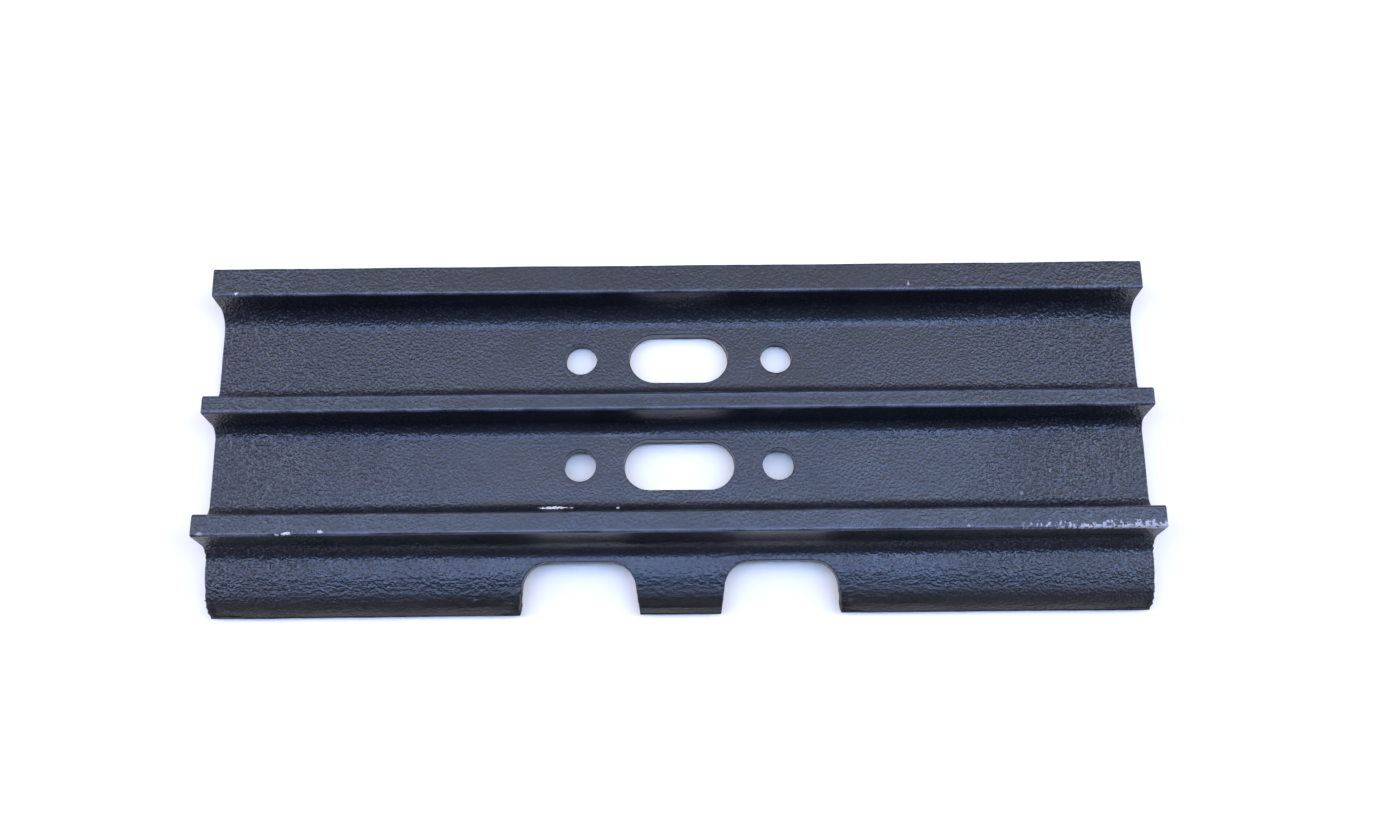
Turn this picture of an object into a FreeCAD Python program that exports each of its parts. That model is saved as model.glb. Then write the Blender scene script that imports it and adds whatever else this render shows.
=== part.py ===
"""Triple-grouser track shoe of a small excavator, in millimetres.

The shoe is one piece of steel: a hot-rolled section with three grousers, sheared to length and
punched. X runs across the track, along the grousers. Y runs along the track, with the curved lip
at -Y and the tail at +Y. Z points out of the track, towards the ground that the grousers bite.
The origin is the centre of the bolt pattern, on the flat underside that the track links carry.
"""
import FreeCAD, Part
import math
import os
import Sketcher

SIZES = [
    # The rolled section.
    ("shoe_length", 450, "length of the shoe, across the track"),
    ("plate_thickness", 7, "plate between the grousers, and the lip"),
    ("grouser_height", 20, "crests above the plate"),
    ("flank_draft", 9, "lean of the grouser flanks from the vertical, in degrees"),
    ("rear_crest_width", 14.5, "top of the rear grouser, before its edges are rounded"),
    ("middle_crest_width", 9, "top of the middle grouser"),
    ("front_crest_width", 10.8, "top of the front grouser"),
    ("rear_root_radius", 10, "foot of the rear grouser, in the rear channel"),
    ("middle_root_radius", 6, "both feet of the middle grouser"),
    ("front_back_root_radius", 5, "foot of the front grouser, in the front channel"),
    ("front_root_radius", 8.5, "foot of the front grouser, above the lip"),
    ("crest_edge_radius", 1.6, "long edges of the crests"),
    # The grousers stand clear of the bolts, which keep their share of the pitch.
    ("track_pitch", 154, "one shoe to the next"),
    ("bolt_share", 0.3474, "one row of bolts to the other, for each millimetre of pitch"),
    ("rear_foot_room", 23.8, "rear row of bolts to the foot of the rear grouser"),
    ("front_foot_room", 21.9, "front row of bolts to the foot of the front grouser"),
    # The lip of one shoe laps under the tail of the next, one pitch away.
    ("lap_length", 15.4, "reach of the tail over the next shoe's lip"),
    ("lap_clearance", 1.5, "gap between the tail's hollow and that lip"),
    ("lip_angle", 8, "fall of the lip from the plate, in degrees"),
    ("nose_radius", 14, "outside of the lip's downward bend"),
    ("nose_angle", 70, "direction of the lip's end, in degrees below the horizontal"),
    ("hollow_edge_radius", 2.5, "edge between the underside and the tail's hollow"),
    ("tail_edge_radius", 1.2, "lower edge of the tail's rear face"),
    # The punched openings.
    ("bolt_spacing_across", 96, "one column of bolts to the other"),
    ("bolt_hole_diameter", 15, "clears an M14 track bolt"),
    ("slot_room", 2, "root of the middle grouser to both centre slots"),
    ("rear_slot_length", 48, "centre slot behind the middle grouser"),
    ("front_slot_length", 53, "centre slot ahead of the middle grouser"),
    ("notch_width", 57, "link notch at the front of the lip"),
    ("notch_room", 1.4, "root of the front grouser to the link notch"),
    ("notch_flare", 8, "lean of the notch's sides, in degrees"),
    ("notch_corner_radius", 12, "inner corners of the notch"),
    ("notch_overrun", 4, "reach of the notching punch past the front of the lip"),
    ("rim_radius", 0.8, "rims that the punch draws in"),
    ("sheared_edge", 0.6, "chamfer around the sheared ends"),
]
# Lengths that follow from those above.
LEAN = "(Sizes.grouser_height * tan(Sizes.flank_draft * 1deg))"
BOLT_ROW = "(Sizes.track_pitch * Sizes.bolt_share / 2)"
TAIL_FOOT = f"({BOLT_ROW} + Sizes.rear_foot_room + 2 * {LEAN} + Sizes.rear_crest_width)"
LIP_REACH = f"(Sizes.track_pitch - {TAIL_FOOT} + Sizes.lap_length)"
LIP_START = f"({BOLT_ROW} + Sizes.front_foot_room + 2 * {LEAN} + Sizes.front_crest_width)"
FRONT_ROOT = ("(Sizes.front_root_radius * cos(Sizes.lip_angle * 1deg)"
              " * tan((90 - Sizes.flank_draft - Sizes.lip_angle) / 2 * 1deg))")
NOTCH_END = f"({LIP_START} + {FRONT_ROOT} + Sizes.notch_room)"
MIDDLE_ROOT = "(Sizes.middle_root_radius * tan((90 - Sizes.flank_draft) / 2 * 1deg))"
SLOT_HALF = f"({BOLT_ROW} - Sizes.middle_crest_width / 2 - {LEAN} - {MIDDLE_ROOT} - Sizes.slot_room)"

START, END, CENTRE = range(1, 4)
ORIGIN = -1
TOUCH = 1e-3

doc = FreeCAD.newDocument("track_shoe")
sheet = doc.addObject("Spreadsheet::Sheet", "Sizes")
for row, (alias, number, meaning) in enumerate(SIZES, start=1):
    sheet.set(f"A{row}", meaning)
    sheet.set(f"B{row}", str(number))
    sheet.setAlias(f"B{row}", alias)
doc.recompute()

body = doc.addObject("PartDesign::Body", "TrackShoe")
body.Label = "track_shoe"


def size(alias):
    """Read a size back from the sheet."""
    return float(getattr(sheet, alias))


def work_out(expression):
    """Work out a length that follows from the sheet."""
    return float(body.evalExpression(expression))


def origin_plane(role):
    """Find one of the body's own origin planes."""
    return next(item for item in body.Origin.OriginFeatures if item.Role == role)


def new_sketch(name, role):
    """Start a sketch on an origin plane."""
    sketch = body.newObject("Sketcher::SketchObject", name)
    sketch.AttachmentSupport = (origin_plane(role), [""])
    sketch.MapMode = "FlatFace"
    return sketch


def line(sketch, start, end):
    """Draw a line at its place. The constraints then hold it."""
    return sketch.addGeometry(Part.LineSegment(FreeCAD.Vector(*start, 0), FreeCAD.Vector(*end, 0)))


def circle(sketch, centre, radius):
    """Draw a circle at its place."""
    return sketch.addGeometry(Part.Circle(FreeCAD.Vector(*centre, 0), FreeCAD.Vector(0, 0, 1), radius))


def arc(sketch, centre, radius, start_degrees, end_degrees):
    """Draw an anticlockwise arc at its place."""
    whole = Part.Circle(FreeCAD.Vector(*centre, 0), FreeCAD.Vector(0, 0, 1), radius)
    return sketch.addGeometry(
        Part.ArcOfCircle(whole, math.radians(start_degrees), math.radians(end_degrees)))


def relate(sketch, kind, *where):
    """Add a constraint that has no size."""
    sketch.addConstraint(Sketcher.Constraint(kind, *where))


def dimension(sketch, name, expression, kind, *where):
    """Add a dimension at its size and bind it to the sheet."""
    value = float(sketch.evalExpression(expression))
    if kind == "Angle":
        value = math.radians(value)
    index = sketch.addConstraint(Sketcher.Constraint(kind, *where, value))
    sketch.renameConstraint(index, name)
    sketch.setExpression(f"Constraints.{name}", expression)


def close_sketch(sketch):
    """Solve a sketch, and stop if anything in it is loose."""
    doc.recompute()
    if not sketch.FullyConstrained:
        raise RuntimeError(f"{sketch.Name} isn't fully constrained")


def finish_feature(feature):
    """Recompute a feature, and stop if it or its shape is bad."""
    doc.recompute()
    shape = feature.Shape
    if {"Invalid", "Error"} & set(feature.State) or shape.isNull() or not shape.isValid():
        raise RuntimeError(f"{feature.Name} did not build: {feature.State}")
    return feature


def dress_edges(kind, measure, name, base, wanted, alias):
    """Dress the edges of the last feature that pass a test."""
    chosen = [f"Edge{number}" for number, edge in enumerate(base.Shape.Edges, start=1) if wanted(edge)]
    dressing = body.newObject(f"PartDesign::{kind}", name)
    dressing.Base = (base, chosen)
    dressing.setExpression(measure, f"Sizes.{alias}")
    return finish_feature(dressing)


def round_edges(*which):
    """Round edges to a radius."""
    return dress_edges("Fillet", "Radius", *which)


def punch(name, sketch, base):
    """Punch a sketch on the XY plane right through the shoe."""
    pocket = body.newObject("PartDesign::Pocket", name)
    pocket.Profile = sketch
    pocket.SideType = "Symmetric"
    pocket.Type = "ThroughAll"
    finish_feature(pocket)
    if pocket.Shape.Volume > base.Shape.Volume - 1:
        raise RuntimeError(f"{name} cut nothing")
    return pocket


# ---- The rolled section, in the YZ plane: the sketch's X is the shoe's Y, and its Y the shoe's Z.
# Each line starts where the sizes put it, so that the constraints only have to keep it there.

plate_top = size("plate_thickness")
crest_top = plate_top + size("grouser_height")
lean = work_out(LEAN)
rear_back = work_out(TAIL_FOOT) - lean
rear_front = rear_back - size("rear_crest_width")
middle_half = size("middle_crest_width") / 2
lip_start = -work_out(LIP_START)
front_front = lip_start + lean
front_back = front_front + size("front_crest_width")
slope = math.radians(size("lip_angle"))
lip_normal = size("lip_angle") + 90
lip_end_normal = size("nose_angle") + 90
nose_radius = size("nose_radius")
inside_radius = nose_radius - plate_top
nose_y = nose_radius - work_out(LIP_REACH)
nose_top_y = nose_y - nose_radius * math.sin(slope)
nose_top_z = plate_top - (lip_start - nose_top_y) * math.tan(slope)
nose_z = nose_top_z - nose_radius * math.cos(slope)
inside_top = (nose_y - inside_radius * math.sin(slope), nose_z + inside_radius * math.cos(slope))
tip_distance = (nose_radius + inside_radius) / 2
tip_y = nose_y + tip_distance * math.cos(math.radians(lip_end_normal))
tip_z = nose_z + tip_distance * math.sin(math.radians(lip_end_normal))
hollow_y = nose_y + size("track_pitch")
hollow_radius = nose_radius + size("lap_clearance")
hollow_end_angle = 180 - math.degrees(math.asin(-nose_z / hollow_radius))
hollow_end_y = hollow_y + hollow_radius * math.cos(math.radians(hollow_end_angle))
hollow_top_y = hollow_y - hollow_radius * math.sin(slope)
hollow_top_z = nose_z + hollow_radius * math.cos(slope)
tail_rise = crest_top - hollow_top_z - (rear_back - hollow_top_y) * math.tan(slope)
tail_z = crest_top - tail_rise / (1 + math.tan(slope) * lean / size("grouser_height"))
tail_y = hollow_top_y + (tail_z - hollow_top_z) / math.tan(slope)

section = new_sketch("RolledSection", "YZ_Plane")
tail_face = line(section, (tail_y, tail_z), (rear_back, crest_top))
rear_crest = line(section, (rear_front, crest_top), (rear_back, crest_top))
rear_flank = line(section, (rear_front - lean, plate_top), (rear_front, crest_top))
rear_channel = line(section, (middle_half + lean, plate_top), (rear_front - lean, plate_top))
middle_back_flank = line(section, (middle_half + lean, plate_top), (middle_half, crest_top))
middle_crest = line(section, (-middle_half, crest_top), (middle_half, crest_top))
middle_front_flank = line(section, (-middle_half - lean, plate_top), (-middle_half, crest_top))
front_channel = line(section, (front_back + lean, plate_top), (-middle_half - lean, plate_top))
front_back_flank = line(section, (front_back + lean, plate_top), (front_back, crest_top))
front_crest = line(section, (front_front, crest_top), (front_back, crest_top))
front_flank = line(section, (lip_start, plate_top), (front_front, crest_top))
lip_top = line(section, (nose_top_y, nose_top_z), (lip_start, plate_top))
nose_outside = arc(section, (nose_y, nose_z), nose_radius, lip_normal, lip_end_normal)
lip_tip = arc(section, (tip_y, tip_z), plate_top / 2, lip_end_normal, lip_end_normal + 180)
nose_inside = arc(section, (nose_y, nose_z), inside_radius, lip_normal, lip_end_normal)
lip_bottom = line(section, inside_top, (lip_start, 0))
underside = line(section, (lip_start, 0), (hollow_end_y, 0))
tail_hollow = arc(section, (hollow_y, nose_z), hollow_radius, lip_normal, hollow_end_angle)
hollow_roof = line(section, (hollow_top_y, hollow_top_z), (tail_y, tail_z))

for first, first_end, second, second_end in (
    (tail_face, END, rear_crest, END),
    (rear_crest, START, rear_flank, END),
    (rear_flank, START, rear_channel, END),
    (rear_channel, START, middle_back_flank, START),
    (middle_back_flank, END, middle_crest, END),
    (middle_crest, START, middle_front_flank, END),
    (middle_front_flank, START, front_channel, END),
    (front_channel, START, front_back_flank, START),
    (front_back_flank, END, front_crest, END),
    (front_crest, START, front_flank, END),
    (front_flank, START, lip_top, END),
    (lip_bottom, END, underside, START),
    (underside, END, tail_hollow, END),
    (hollow_roof, END, tail_face, START),
    (nose_outside, CENTRE, nose_inside, CENTRE),
):
    relate(section, "Coincident", first, first_end, second, second_end)
for first, first_end, second, second_end in (
    (lip_top, START, nose_outside, START),
    (nose_outside, END, lip_tip, START),
    (lip_tip, END, nose_inside, END),
    (nose_inside, START, lip_bottom, START),
    (tail_hollow, START, hollow_roof, START),
):
    relate(section, "Tangent", first, first_end, second, second_end)
for level in (rear_crest, rear_channel, middle_crest, front_channel, front_crest, underside):
    relate(section, "Horizontal", level)
for sloping in (lip_bottom, hollow_roof):
    relate(section, "Parallel", sloping, lip_top)
relate(section, "PointOnObject", underside, START, ORIGIN)
relate(section, "Horizontal", nose_outside, CENTRE, tail_hollow, CENTRE)

for name, drawn, angle in (
    ("tail_lean", tail_face, "90 + Sizes.flank_draft"),
    ("rear_lean", rear_flank, "90 - Sizes.flank_draft"),
    ("middle_back_lean", middle_back_flank, "90 + Sizes.flank_draft"),
    ("middle_front_lean", middle_front_flank, "90 - Sizes.flank_draft"),
    ("front_back_lean", front_back_flank, "90 + Sizes.flank_draft"),
    ("front_lean", front_flank, "90 - Sizes.flank_draft"),
    ("lip_fall", lip_top, "Sizes.lip_angle"),
    ("nose_turn", nose_outside, "Sizes.nose_angle - Sizes.lip_angle"),
):
    dimension(section, name, angle, "Angle", drawn)
for name, crest in (("rear", rear_crest), ("middle", middle_crest), ("front", front_crest)):
    dimension(section, f"{name}_width", f"Sizes.{name}_crest_width",
              "DistanceX", crest, START, crest, END)
    dimension(section, f"{name}_top", "Sizes.plate_thickness + Sizes.grouser_height",
              "DistanceY", ORIGIN, START, crest, END)
for name, plate, end in (
    ("rear_plate", rear_channel, START),
    ("front_plate", front_channel, START),
    ("lip_plate", lip_top, END),
):
    dimension(section, name, "Sizes.plate_thickness", "DistanceY", ORIGIN, START, plate, end)
dimension(section, "rear_place", f"{BOLT_ROW} + Sizes.rear_foot_room",
          "DistanceX", ORIGIN, START, rear_flank, START)
dimension(section, "middle_place", "Sizes.middle_crest_width / 2",
          "DistanceX", ORIGIN, START, middle_crest, END)
dimension(section, "front_place", f"{BOLT_ROW} + Sizes.front_foot_room",
          "DistanceX", front_back_flank, START, ORIGIN, START)
dimension(section, "nose_place", f"{LIP_REACH} - Sizes.nose_radius",
          "DistanceX", nose_outside, CENTRE, ORIGIN, START)
dimension(section, "nose_size", "Sizes.nose_radius", "Radius", nose_outside)
dimension(section, "inside_size", "Sizes.nose_radius - Sizes.plate_thickness", "Radius", nose_inside)
dimension(section, "next_shoe", "Sizes.track_pitch",
          "DistanceX", nose_outside, CENTRE, tail_hollow, CENTRE)
dimension(section, "hollow_size", "Sizes.nose_radius + Sizes.lap_clearance", "Radius", tail_hollow)
close_sketch(section)

rolled_bar = body.newObject("PartDesign::Pad", "RolledBar")
rolled_bar.Profile = section
rolled_bar.SideType = "Symmetric"
rolled_bar.setExpression("Length", "Sizes.shoe_length")
shoe = finish_feature(rolled_bar)


def corner_edges(*corners):
    """Make a test for the long edges that stand on these corners of the section."""
    places = []
    for drawn, end in corners:
        solved = section.Geometry[drawn]
        point = solved.EndPoint if end == END else solved.StartPoint
        places.append(FreeCAD.Vector(0, point.x, point.y))

    def wanted(edge):
        if not isinstance(edge.Curve, Part.Line) or abs(edge.Curve.Direction.x) < 1 - TOUCH:
            return False
        return any(edge.Curve.projectPoint(place).sub(place).Length < TOUCH for place in places)

    return wanted


middle_feet = [(middle_back_flank, START), (middle_front_flank, START)]
crest_corners = [(crest, end) for crest in (rear_crest, middle_crest, front_crest) for end in (START, END)]
shoe = round_edges("RearRoot", shoe, corner_edges((rear_flank, START)), "rear_root_radius")
shoe = round_edges("MiddleRoots", shoe, corner_edges(*middle_feet), "middle_root_radius")
shoe = round_edges("FrontBackRoot", shoe, corner_edges((front_back_flank, START)),
                   "front_back_root_radius")
shoe = round_edges("FrontRoot", shoe, corner_edges((front_flank, START)), "front_root_radius")
shoe = round_edges("CrestEdges", shoe, corner_edges(*crest_corners), "crest_edge_radius")
shoe = round_edges("HollowEdge", shoe, corner_edges((underside, END)), "hollow_edge_radius")
shoe = round_edges("TailEdge", shoe, corner_edges((tail_face, START)), "tail_edge_radius")

# ---- Link notches: the lip is cut away ahead of each column of bolts, to clear the track links.

column = size("bolt_spacing_across") / 2
left = column - size("notch_width") / 2
right = column + size("notch_width") / 2
mouth = -work_out(LIP_REACH)
notch_end = -work_out(NOTCH_END)
lean_angle = size("notch_flare")
flare = (notch_end - mouth) * math.tan(math.radians(lean_angle))
corner = size("notch_corner_radius")
corner_y = notch_end - corner
corner_in = flare - (notch_end - corner_y) * math.tan(math.radians(lean_angle))
corner_in += corner / math.cos(math.radians(lean_angle))
side_in = corner_in - corner * math.cos(math.radians(lean_angle))
side_y = corner_y + corner * math.sin(math.radians(lean_angle))
past = mouth - size("notch_overrun")

notch = new_sketch("LinkNotch", "XY_Plane")
notch_back = line(notch, (left + corner_in, notch_end), (right - corner_in, notch_end))
left_corner = arc(notch, (left + corner_in, corner_y), corner, 90, 180 - lean_angle)
right_corner = arc(notch, (right - corner_in, corner_y), corner, lean_angle, 90)
left_side = line(notch, (left, mouth), (left + side_in, side_y))
right_side = line(notch, (right, mouth), (right - side_in, side_y))
left_past = line(notch, (left, past), (left, mouth))
right_past = line(notch, (right, past), (right, mouth))
notch_front = line(notch, (left, past), (right, past))
for first, first_end, second, second_end in (
    (notch_back, START, left_corner, START),
    (left_corner, END, left_side, END),
    (notch_back, END, right_corner, END),
    (right_corner, START, right_side, END),
):
    relate(notch, "Tangent", first, first_end, second, second_end)
for first, first_end, second, second_end in (
    (left_side, START, left_past, END),
    (right_side, START, right_past, END),
    (left_past, START, notch_front, START),
    (right_past, START, notch_front, END),
):
    relate(notch, "Coincident", first, first_end, second, second_end)
for level in (notch_back, notch_front):
    relate(notch, "Horizontal", level)
for upright in (left_past, right_past):
    relate(notch, "Vertical", upright)
relate(notch, "Equal", left_corner, right_corner)
dimension(notch, "corner", "Sizes.notch_corner_radius", "Radius", left_corner)
dimension(notch, "left_lean", "90 - Sizes.notch_flare", "Angle", left_side)
dimension(notch, "right_lean", "90 + Sizes.notch_flare", "Angle", right_side)
dimension(notch, "width", "Sizes.notch_width", "DistanceX", notch_front, START, notch_front, END)
dimension(notch, "place", "(Sizes.bolt_spacing_across - Sizes.notch_width) / 2",
          "DistanceX", ORIGIN, START, notch_front, START)
dimension(notch, "left_mouth", LIP_REACH, "DistanceY", left_side, START, ORIGIN, START)
dimension(notch, "right_mouth", LIP_REACH, "DistanceY", right_side, START, ORIGIN, START)
dimension(notch, "back", NOTCH_END, "DistanceY", notch_back, START, ORIGIN, START)
dimension(notch, "overrun", "Sizes.notch_overrun", "DistanceY", left_past, START, left_past, END)
close_sketch(notch)
one_notch = punch("NotchPunch", notch, shoe)

both_notches = body.newObject("PartDesign::Mirrored", "BothNotches")
both_notches.Originals = [one_notch]
both_notches.MirrorPlane = (origin_plane("YZ_Plane"), [""])
body.Tip = both_notches
shoe = finish_feature(both_notches)

# ---- Centre slots, in line with the rows of bolts. They shed the soil that the sprocket packs.

bolt_row = work_out(BOLT_ROW)
slot_end = work_out(SLOT_HALF)
slots = new_sketch("CentreSlots", "XY_Plane")
for name, alias, slot_row in (
    ("rear", "rear_slot_length", bolt_row),
    ("front", "front_slot_length", -bolt_row),
):
    half = size(alias) / 2 - slot_end
    left_end = arc(slots, (-half, slot_row), slot_end, 90, 270)
    right_end = arc(slots, (half, slot_row), slot_end, -90, 90)
    back_side = line(slots, (-half, slot_row + slot_end), (half, slot_row + slot_end))
    front_side = line(slots, (-half, slot_row - slot_end), (half, slot_row - slot_end))
    relate(slots, "Tangent", back_side, START, left_end, START)
    relate(slots, "Tangent", left_end, END, front_side, START)
    relate(slots, "Tangent", front_side, END, right_end, START)
    relate(slots, "Tangent", right_end, END, back_side, END)
    relate(slots, "Horizontal", back_side)
    relate(slots, "Equal", left_end, right_end)
    dimension(slots, f"{name}_round", SLOT_HALF, "Radius", right_end)
    dimension(slots, f"{name}_straight", f"Sizes.{alias} - 2 * {SLOT_HALF}",
              "DistanceX", left_end, CENTRE, right_end, CENTRE)
    dimension(slots, f"{name}_middle", f"Sizes.{alias} / 2 - {SLOT_HALF}",
              "DistanceX", ORIGIN, START, right_end, CENTRE)
    lower, upper = sorted([(0, (ORIGIN, START)), (slot_row, (right_end, CENTRE))])
    dimension(slots, f"{name}_row", BOLT_ROW, "DistanceY", *lower[1], *upper[1])
close_sketch(slots)
shoe = punch("SlotPunch", slots, shoe)

# ---- Bolt holes: one is cut, and two mirrors make the rectangle of four.

hole_place = new_sketch("BoltHolePlace", "XY_Plane")
hole = circle(hole_place, (column, bolt_row), size("bolt_hole_diameter") / 2)
dimension(hole_place, "across", "Sizes.bolt_spacing_across / 2",
          "DistanceX", ORIGIN, START, hole, CENTRE)
dimension(hole_place, "along", BOLT_ROW, "DistanceY", ORIGIN, START, hole, CENTRE)
dimension(hole_place, "diameter", "Sizes.bolt_hole_diameter", "Diameter", hole)
close_sketch(hole_place)

bolt_hole = body.newObject("PartDesign::Hole", "BoltHole")
bolt_hole.Profile = hole_place
doc.recompute()
bolt_hole.DepthType = "ThroughAll"
bolt_hole.Reversed = True
bolt_hole.setExpression("Diameter", "Sizes.bolt_hole_diameter")
finish_feature(bolt_hole)
both_columns = body.newObject("PartDesign::Mirrored", "BothColumns")
both_columns.MirrorPlane = (origin_plane("YZ_Plane"), [""])
both_rows = body.newObject("PartDesign::Mirrored", "BothRows")
both_rows.MirrorPlane = (origin_plane("XZ_Plane"), [""])
bolt_pattern = body.newObject("PartDesign::MultiTransform", "BoltPattern")
bolt_pattern.Originals = [bolt_hole]
bolt_pattern.Transformations = [both_columns, both_rows]
body.Tip = bolt_pattern
finish_feature(bolt_pattern)
bore_volume = math.pi * size("bolt_hole_diameter") ** 2 / 4 * plate_top
if abs(shoe.Shape.Volume - bolt_pattern.Shape.Volume - 4 * bore_volume) > 1:
    raise RuntimeError("the four bolt holes don't all go through")
shoe = bolt_pattern

# ---- Rounded rims and ends, where the punch and the shear draw the steel in.


def punched_rim(edge):
    """Test for an upper edge of a bolt hole or a centre slot."""
    box = edge.BoundBox
    level = box.ZLength < TOUCH and abs(box.ZMin - plate_top) < TOUCH
    return level and TOUCH < box.XLength < size("shoe_length") - TOUCH


def notch_rim(edge):
    """Test for the upper edge at a notch's inner end, from which the round runs on around the lip."""
    box = edge.BoundBox
    level = box.ZLength < TOUCH and box.YLength < TOUCH and box.ZMin > 0
    return level and TOUCH < box.XLength < size("notch_width") and abs(box.YMin - notch_end) < TOUCH


def sheared_edge(edge):
    """Test for an edge of a sheared end."""
    box = edge.BoundBox
    return box.XLength < TOUCH and abs(abs(box.XMin) - size("shoe_length") / 2) < TOUCH


shoe = round_edges("PunchedRims", shoe, punched_rim, "rim_radius")
shoe = round_edges("NotchRims", shoe, notch_rim, "rim_radius")
shoe = dress_edges("Chamfer", "Size", "ShearedEnds", shoe, sheared_edge, "sheared_edge")

for item in doc.Objects:
    if {"Invalid", "Error"} & set(item.State):
        raise RuntimeError(f"{item.Name} is in a bad state: {item.State}")
if body.Shape.isNull() or not body.Shape.isValid() or len(body.Shape.Solids) != 1:
    raise RuntimeError("the shoe isn't one good solid")
os.makedirs("parts", exist_ok=True)
body.Shape.exportStep(f"parts/{body.Label}.step")
print(f"{body.Label}: {body.Shape.Volume:.3f} mm3, {len(body.Shape.Faces)} faces")
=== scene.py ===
"""Track shoe of a small excavator, dressed: rolled and punched steel, dipped in dark slate enamel."""

import math

import bpy
from mathutils import Matrix, Vector


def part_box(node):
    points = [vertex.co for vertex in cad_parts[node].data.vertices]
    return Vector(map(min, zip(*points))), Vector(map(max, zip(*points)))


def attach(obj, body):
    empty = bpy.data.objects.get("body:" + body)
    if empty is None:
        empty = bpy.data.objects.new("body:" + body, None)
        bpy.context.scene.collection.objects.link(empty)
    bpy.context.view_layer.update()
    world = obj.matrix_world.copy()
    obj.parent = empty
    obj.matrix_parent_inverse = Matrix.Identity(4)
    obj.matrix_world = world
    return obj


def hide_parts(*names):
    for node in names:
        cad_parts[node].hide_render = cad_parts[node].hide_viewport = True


MM = 0.001

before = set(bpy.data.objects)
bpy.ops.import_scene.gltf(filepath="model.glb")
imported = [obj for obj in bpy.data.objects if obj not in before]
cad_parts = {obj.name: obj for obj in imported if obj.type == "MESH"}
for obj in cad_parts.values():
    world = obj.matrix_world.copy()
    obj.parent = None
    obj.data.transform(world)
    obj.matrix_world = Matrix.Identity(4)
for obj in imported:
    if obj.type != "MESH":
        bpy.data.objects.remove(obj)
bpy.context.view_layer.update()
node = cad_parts["track_shoe"]
low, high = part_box("track_shoe")
low, high = Vector(low), Vector(high)

# ---- Camera: above the shoe, a little ahead of its lip, looking down on the grousers.

CAMERA_PLACE = Vector((3.54, -144.9, 573.0)) * MM
CAMERA_TILT = math.radians(14.03)
CAMERA_YAW = math.radians(-0.73)
CAMERA_ROLL = math.radians(0.16)

camera = bpy.data.objects.new("camera", bpy.data.cameras.new("camera"))
bpy.context.scene.collection.objects.link(camera)
camera.data.sensor_width = 36
camera.data.lens = 31.3
camera.data.clip_start = 10 * MM
camera.matrix_world = (
    Matrix.Translation(CAMERA_PLACE)
    @ Matrix.Rotation(CAMERA_YAW, 4, "Z")
    @ Matrix.Rotation(CAMERA_TILT, 4, "X")
    @ Matrix.Rotation(CAMERA_ROLL, 4, "Z")
)
bpy.context.scene.camera = camera

# ---- The steel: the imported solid's surface, gridded finely enough to carry its waviness.

GRID = 2.5 * MM  # between neighbouring cuts
MERGE = 0.005 * MM  # points nearer than this become one
ON_PLANE = 0.001 * MM  # points nearer than this to a cut lie on it
SAME_FACE = math.radians(0.2)  # facets that meet at less than this become one
CREASE = math.radians(35)  # edges sharper than this stay sharp
NOSE_DEPTH = 11.7 * MM  # from the lip's tip back to its flat upper face
LIP_FLAT = 15 * MM  # the flat upper face, from there to the front grouser's root
LIP_CROWN = 0.6 * MM


def only(obj):
    """Select one object and make it active."""
    bpy.ops.object.select_all(action="DESELECT")
    obj.select_set(True)
    bpy.context.view_layer.objects.active = obj


def cut_grid(axis):
    """Cut the whole mesh along evenly spaced planes across one axis."""
    start, stop = low[axis], high[axis]
    normal = [0.0, 0.0, 0.0]
    normal[axis] = 1.0
    count = round((stop - start) / GRID)
    for step in range(1, count):
        place = [0.0, 0.0, 0.0]
        place[axis] = start + (stop - start) * step / count
        bpy.ops.mesh.select_all(action="SELECT")
        bpy.ops.mesh.bisect(plane_co=place, plane_no=normal, threshold=ON_PLANE)


def make_steel():
    """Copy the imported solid's surface, without its stored corner normals, and grid it."""
    steel = bpy.data.objects.new("rolled_shoe", node.data.copy())
    bpy.context.scene.collection.objects.link(steel)
    only(steel)
    bpy.ops.mesh.customdata_custom_splitnormals_clear()
    bpy.ops.object.mode_set(mode="EDIT")
    bpy.ops.mesh.select_all(action="SELECT")
    bpy.ops.mesh.remove_doubles(threshold=MERGE)
    bpy.ops.mesh.dissolve_limited(angle_limit=SAME_FACE)
    for axis in range(3):
        cut_grid(axis)
    bpy.ops.mesh.select_all(action="SELECT")
    bpy.ops.mesh.remove_doubles(threshold=MERGE)
    bpy.ops.mesh.quads_convert_to_tris()
    bpy.ops.object.mode_set(mode="OBJECT")
    return steel


def crown_lip(steel):
    """Let the lip's upper face fall away a little towards its root and its nose."""
    group = steel.vertex_groups.new(name="lip_crown")
    middle = low.y + NOSE_DEPTH + LIP_FLAT / 2
    for vertex in steel.data.vertices:
        across = (vertex.co.y - middle) / (LIP_FLAT / 2)
        if vertex.normal.z > 0 and across < 1:
            group.add([vertex.index], min(across * across, 1.0), "REPLACE")
        elif vertex.normal.z > 0 and across < 2:
            group.add([vertex.index], 2 - across, "REPLACE")
    fall = steel.modifiers.new("lip_crown", "DISPLACE")
    fall.vertex_group = group.name
    fall.mid_level = 0.0
    fall.strength = -LIP_CROWN
    only(steel)
    bpy.ops.object.modifier_apply(modifier=fall.name)


def sink(steel, name, wave, depth):
    """Sink the surface by a cloudy pattern, never above the solid."""
    cloud = bpy.data.textures.new(name, "CLOUDS")
    cloud.noise_scale = wave
    push = steel.modifiers.new(name, "DISPLACE")
    push.texture = cloud
    push.texture_coords = "LOCAL"
    push.mid_level = 1.0
    push.strength = depth
    only(steel)
    bpy.ops.object.modifier_apply(modifier=name)


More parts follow.
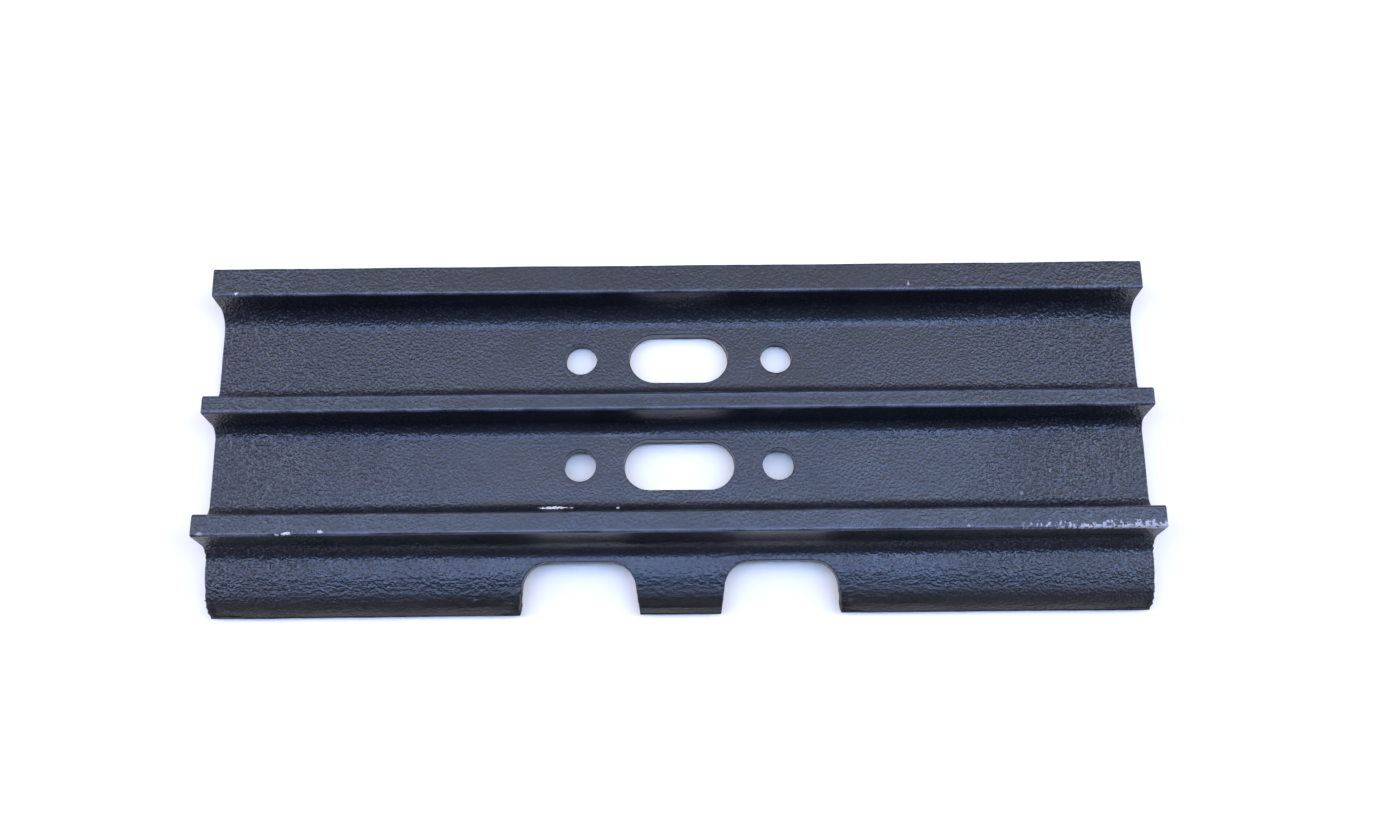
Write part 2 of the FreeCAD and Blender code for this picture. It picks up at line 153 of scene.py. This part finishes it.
steel = make_steel()
crown_lip(steel)
sink(steel, "rolling_waves", wave=40 * MM, depth=0.5 * MM)
sink(steel, "scale_unevenness", wave=8 * MM, depth=0.15 * MM)
only(steel)
bpy.ops.object.shade_smooth_by_angle(angle=CREASE)

# ---- Materials.

CREST_EDGE = 1.5 * MM  # width of the rounding along a crest's edge
CREST_LEVEL = high.z - 0.01 * MM  # points above this are on a crest's flat
CREST_ENDS = 200 * MM  # the flats' corners lie further out than this

# The long edges of the crests' flats, from front to rear.
crest_lines = sorted({round(vertex.co.y, 5) for vertex in node.data.vertices
                      if vertex.co.z > CREST_LEVEL and abs(vertex.co.x) > CREST_ENDS})

# Chips in the coat, in mm: the middle's place across, along and up, the length, the width,
# and how far through the coat each goes.
CHIPS = (
    (-60.0, -47.4, 8.0, 13.5, 1.3, 1.0),
    (-51.4, -47.4, 8.0, 1.6, 0.9, 0.8),
    (-29.5, -47.7, 8.0, 1.6, 1.2, 0.8),
    (-180.6, -61.4, 26.8, 4.6, 1.4, 0.9),
    (-184.6, -61.9, 26.5, 2.2, 1.0, 0.6),
    (-165.0, -60.6, 27.0, 2.4, 1.2, 0.7),
    (-220.5, -61.2, 26.9, 2.6, 1.6, 0.35),
    (-212.7, 55.4, 27.0, 1.8, 1.3, 0.9),
    (111.2, 57.4, 27.0, 0.9, 2.2, 0.5),
    (132.8, -60.6, 27.0, 1.6, 1.2, 0.4),
    (163.9, -42.3, 7.0, 1.5, 1.6, 0.3),
    (178.3, -31.2, 7.0, 1.4, 1.2, 0.3),
)
CHIP_RAGGED = 2 * MM  # how far a chip's rim wanders
BUMP_DEPTH = 0.65 * MM

# A colour mix's share and its two colours, by number, since other kinds of mix share their names.
MIX_SHARE, MIX_FIRST, MIX_SECOND = 0, 6, 7


def linear(hex_colour):
    """Turn an sRGB hex colour to linear."""
    parts = [int(hex_colour[i:i + 2], 16) / 255 for i in (1, 3, 5)]
    return [c / 12.92 if c <= 0.04045 else ((c + 0.055) / 1.055) ** 2.4 for c in parts] + [1.0]


def add(tree, kind, inputs, **settings):
    """Add a node, set it up, and give back its output."""
    made = tree.nodes.new(kind)
    for name, value in settings.items():
        setattr(made, name, value)
    for socket, value in inputs.items():
        if isinstance(value, bpy.types.NodeSocket):
            tree.links.new(value, made.inputs[socket])
        else:
            made.inputs[socket].default_value = value
    return next(out for out in made.outputs if out.enabled)


def enamel():
    """Slate enamel, dipped over mill scale: half glossy, orange-peeled, thick and coarse near the ends."""
    material = bpy.data.materials.new("dipped_slate_enamel_on_rolled_scale")
    material.use_nodes = True
    tree = material.node_tree
    shader = tree.nodes["Principled BSDF"]
    shader.inputs["IOR"].default_value = 1.5

    coordinates = tree.nodes.new("ShaderNodeTexCoord")
    where = coordinates.outputs["Object"]
    axes = tree.nodes.new("ShaderNodeSeparateXYZ")
    tree.links.new(where, axes.inputs[0])
    across, along, up = axes.outputs

    def noise(wave, detail=2.0, source=where):
        return add(tree, "ShaderNodeTexNoise", {"Vector": source, "Scale": 1 / wave, "Detail": detail})

    def ramp(value, start, stop, first=0.0, last=1.0):
        limits = {"Value": value, "From Min": start, "From Max": stop, "To Min": first, "To Max": last}
        return add(tree, "ShaderNodeMapRange", limits, interpolation_type="SMOOTHSTEP")

    def maths(operation, one, two=0.0):
        return add(tree, "ShaderNodeMath", {0: one, 1: two}, operation=operation)

    def blend(share, one, two):
        inputs = {MIX_SHARE: share, MIX_FIRST: one, MIX_SECOND: two}
        return add(tree, "ShaderNodeMix", inputs, data_type="RGBA")

    # Where the coat is coarse: towards both ends and in clouds, but less so on the crests.
    towards_end = ramp(maths("ABSOLUTE", across), 70 * MM, 215 * MM, 0.3, 1.0)
    clouds = ramp(noise(60 * MM), 0.35, 0.65)
    coarse = maths("ADD", towards_end, maths("MULTIPLY", clouds, 0.3))
    coarse = maths("MULTIPLY", coarse, ramp(up, high.z - 6 * MM, high.z - 3 * MM, 1.0, 0.65))
    on_lip = ramp(along, low.y + 26 * MM, low.y + 15 * MM)
    on_nose = ramp(along, low.y + 14 * MM, low.y + 8 * MM)

    # Orange peel 1.3 mm across, with painted shade making its hollows black and painted glints making its
    # peaks greyer. Painted shade makes the nose dark and brownish.
    peel = noise(1.3 * MM, 1.0)
    hollow_shade_and_dullness = maths("MULTIPLY", ramp(peel, 0.5, 0.34), coarse)
    peak_glints = maths("MULTIPLY", ramp(peel, 0.53, 0.68), coarse)
    slate = blend(noise(30 * MM, 3.0), linear("#15171a"), linear("#202227"))
    # Painted shade in the peel's hollows, then painted glints on its peaks.
    slate = blend(maths("MULTIPLY", hollow_shade_and_dullness, 0.4), slate, linear("#08090a"))
    slate = blend(maths("MULTIPLY", peak_glints, 0.7), slate, linear("#3c3e46"))
    # Painted shade: the coat on the nose is blended towards a dark brown.
    coat = blend(maths("MULTIPLY", on_nose, 0.85), slate, linear("#110d0b"))

    # Along the crests' long edges a paler line is painted as a highlight on their rounding, most of all on
    # the near ones.
    edge_highlight = 0.0
    for number, line in enumerate(crest_lines):
        near = number % 2 == 0
        outer = line - CREST_EDGE if near else line + CREST_EDGE
        inside = ramp(along, outer, (line + outer) / 2)
        beyond = ramp(along, line, line + (line - outer) / 2, 0.55 if near else 0.2, 0.0)
        edge_highlight = maths("ADD", maths("MULTIPLY", inside, beyond), edge_highlight)
    edge_highlight = maths("MULTIPLY", edge_highlight, ramp(up, high.z - 5 * MM, high.z - 3 * MM))
    edge_highlight = maths("MULTIPLY", edge_highlight, ramp(noise(14 * MM, 4.0), 0.35, 0.6, 0.2, 1.0))
    # Painted highlight along the crests' edges.
    coat = blend(edge_highlight, coat, linear("#595b68"))

    # The front crest's near edge is worn to bright speckles towards its right end, over brown primer.
    edge = crest_lines[0]
    worn = ramp(across, 145 * MM, 215 * MM)
    worn = maths("MULTIPLY", worn, ramp(along, edge + 3.5 * MM, edge - 0.5 * MM))
    worn = maths("MULTIPLY", worn, ramp(along, edge - 3 * MM, edge - 1.5 * MM))
    worn = maths("MULTIPLY", worn, ramp(up, high.z - 3 * MM, high.z - 1.5 * MM))
    speckles = ramp(maths("ADD", noise(1.6 * MM, 3.0), maths("MULTIPLY", worn, 0.22)), 0.6, 0.67)
    speckles = maths("MULTIPLY", speckles, ramp(worn, 0.0, 0.15))
    primer = maths("MULTIPLY", ramp(noise(5 * MM), 0.45, 0.6), worn)
    coat = blend(maths("MULTIPLY", primer, 0.7), coat, linear("#4a3a30"))
    coat = blend(speckles, coat, linear("#98969a"))

    # Chips and scrapes down to pale primer, ragged at their rims.
    wander = noise(1.1 * MM, 1.0).node.outputs["Color"]
    wander = add(tree, "ShaderNodeVectorMath", {0: wander, 1: (0.5, 0.5, 0.5)}, operation="SUBTRACT")
    shaken = {0: wander, 1: (CHIP_RAGGED,) * 3, 2: where}
    shaken = add(tree, "ShaderNodeVectorMath", shaken, operation="MULTIPLY_ADD")
    chipped = 0.0
    for x, y, z, length, width, depth in CHIPS:
        size = Vector((length / 2, width / 2, width))
        scale = [1 / (side * MM) for side in size]
        shift = [-place / side for place, side in zip((x, y, z), size)]
        near = add(tree, "ShaderNodeMapping", {"Vector": shaken, "Location": shift, "Scale": scale})
        away = add(tree, "ShaderNodeVectorMath", {0: near}, operation="LENGTH")
        chipped = maths("MAXIMUM", ramp(away, 1.2, 0.8, 0.0, depth), chipped)
    coat = blend(chipped, coat, linear("#c9c6c2"))

    # The peel stands proud, and on the lip so do wrinkles 3.4 mm long and 1.7 mm wide along it.
    stretched = add(tree, "ShaderNodeMapping", {"Vector": where, "Scale": (0.5, 1.0, 1.0)})
    wrinkles = noise(1.7 * MM, 2.0, stretched)
    height = maths("MULTIPLY", peel, coarse)
    height = maths("ADD", height, maths("MULTIPLY", wrinkles, maths("MULTIPLY", on_lip, 0.7)))
    bump = add(tree, "ShaderNodeBump", {"Height": height, "Strength": 1.0, "Distance": BUMP_DEPTH})

    # Half glossy in clouds, duller on the nose, in the hollows and most of all in the chips.
    gloss = ramp(noise(25 * MM), 0.3, 0.7, 0.26, 0.36)
    for dull, amount in ((on_nose, 0.2), (hollow_shade_and_dullness, 0.1), (chipped, 0.3)):
        gloss = maths("ADD", gloss, maths("MULTIPLY", dull, amount))

    tree.links.new(coat, shader.inputs["Base Color"])
    tree.links.new(gloss, shader.inputs["Roughness"])
    tree.links.new(bump, shader.inputs["Normal"])
    return material


steel_paint = enamel()
for painted in (steel, node):
    painted.data.materials.clear()
    painted.data.materials.append(steel_paint)
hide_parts("track_shoe")
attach(steel, "root")

# ---- Floor, tilted as the shoe's own resting plane lies, from the lip's tip to the flat underside.

FLOOR_SIZE = 9
RESTING_TRIES = 3

points = [vertex.co for vertex in node.data.vertices]
front = min(points, key=lambda p: p.z)
for _ in range(RESTING_TRIES):
    rise = min((p.z - front.z) / (p.y - front.y) for p in points if p.y > 0)
    front = min(points, key=lambda p: p.z - rise * p.y)
bpy.ops.object.select_all(action="DESELECT")
bpy.ops.mesh.primitive_plane_add(
    size=FLOOR_SIZE, location=(0, front.y, front.z), rotation=(math.atan(rise), 0, 0))
floor = bpy.context.object
floor.name = "floor"
# Matt white board, warm enough to look neutral under the blue box.
board = bpy.data.materials.new("matt_white_board")
board.use_nodes = True
board_shader = board.node_tree.nodes["Principled BSDF"]
board_shader.inputs["Base Color"].default_value = linear("#fff2dc")
board_shader.inputs["Roughness"].default_value = 0.9
floor.data.materials.append(board)

# ---- Light: soft boxes overhead, the front one bluer, warm fill from both sides, and a dim room.

CEILING = 3.0
ROOM_GLOW = 0.1  # what the room gives to the shoe
BACKDROP_GLOW = 1.0  # what the room shows of itself, seen directly


def soft_box(name, centre, size_x, size_y, brightness, colour, aim=None):
    """Hang a soft box of a given brightness, flat under the ceiling or turned to face a point."""
    lamp = bpy.data.lights.new(name, "AREA")
    lamp.shape = "RECTANGLE"
    lamp.size = size_x
    lamp.size_y = size_y
    lamp.energy = brightness * math.pi * size_x * size_y
    lamp.color = linear(colour)[:3]
    box = bpy.data.objects.new(name, lamp)
    bpy.context.scene.collection.objects.link(box)
    box.location = centre
    if aim:
        box.rotation_euler = (Vector(centre) - Vector(aim)).to_track_quat("Z", "Y").to_euler()


# The smaller boxes hang a little under the ceiling, so that none lies in the plane of another.
soft_box("blue_front_box", (0, -0.27, CEILING), 7.5, 0.74, 9.8, "#98bbff")
soft_box("middle_box", (0, 0.425, CEILING), 7.5, 0.65, 3.8, "#c6d2fa")
soft_box("rear_box", (0, 1.52, CEILING), 7.5, 1.55, 1.45, "#ece9ec")
soft_box("right_blue_box", (1.6, -0.25, CEILING - 0.02), 2.0, 0.7, 2.6, "#89c4ff")
for side in (-1, 1):
    soft_box("end_box", (side * 1.75, 0.5, CEILING - 0.04), 1.9, 2.2, 0.45, "#fff4ea")
    soft_box("warm_side_box", (side * 4.2, 0.6, 1.8), 1.8, 2.6, 6.0, "#fff0e0", aim=(0, 0, 0))

# The room is dim and warm, and only its backdrop, as seen directly, is pale.
world = bpy.data.worlds.new("room")
bpy.context.scene.world = world
world.use_nodes = True
room = world.node_tree
seen = add(room, "ShaderNodeLightPath", {})
shades = {MIX_SHARE: seen, MIX_FIRST: linear("#ffe2c8"), MIX_SECOND: linear("#f3f4f7")}
shade = add(room, "ShaderNodeMix", shades, data_type="RGBA")
glow = add(room, "ShaderNodeMapRange", {"Value": seen, "To Min": ROOM_GLOW, "To Max": BACKDROP_GLOW})
room.links.new(shade, room.nodes["Background"].inputs["Color"])
room.links.new(glow, room.nodes["Background"].inputs["Strength"])
bpy.context.scene.view_settings.view_transform = "Standard"
